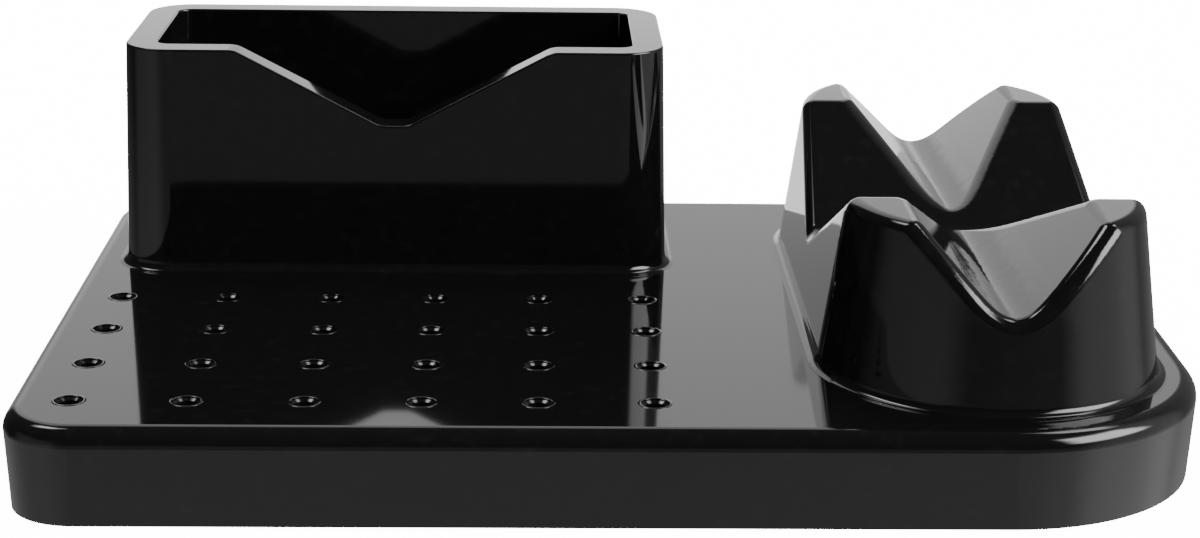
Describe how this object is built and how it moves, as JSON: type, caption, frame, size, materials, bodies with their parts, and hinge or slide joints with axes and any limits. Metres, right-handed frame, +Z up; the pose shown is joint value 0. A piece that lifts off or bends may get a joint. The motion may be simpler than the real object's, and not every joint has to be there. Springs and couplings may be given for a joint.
{
  "type": "salon styling station",
  "caption": "Countertop salon organiser: a low tray with a grid of comb sockets, a brush bin with a notched front and a four-post cradle for hot styling tools.",
  "frame": {"origin": "on the counter under the middle of the tray", "axes": "+X along the tray's length towards the cradle, +Y away from the user, +Z up"},
  "size_m": [0.3134, 0.2254, 0.094],
  "materials": {
    "gloss_black": "mirror gloss",
    "base_black": "fine texture",
    "foot_rubber": "matte",
    "screw_steel": "zinc plated"
  },
  "bodies": {
    "root": {"tray_shell": "gloss_black", "brush_bin": "gloss_black", "tool_cradle": "gloss_black", "base_plate": "base_black", "foot_front_left": "foot_rubber", "foot_front_right": "foot_rubber", "foot_rear_left": "foot_rubber", "foot_rear_right": "foot_rubber", "plate_screws": "screw_steel", "bin_screws": "screw_steel", "cradle_screws": "screw_steel"}
  },
  "joints": []
}
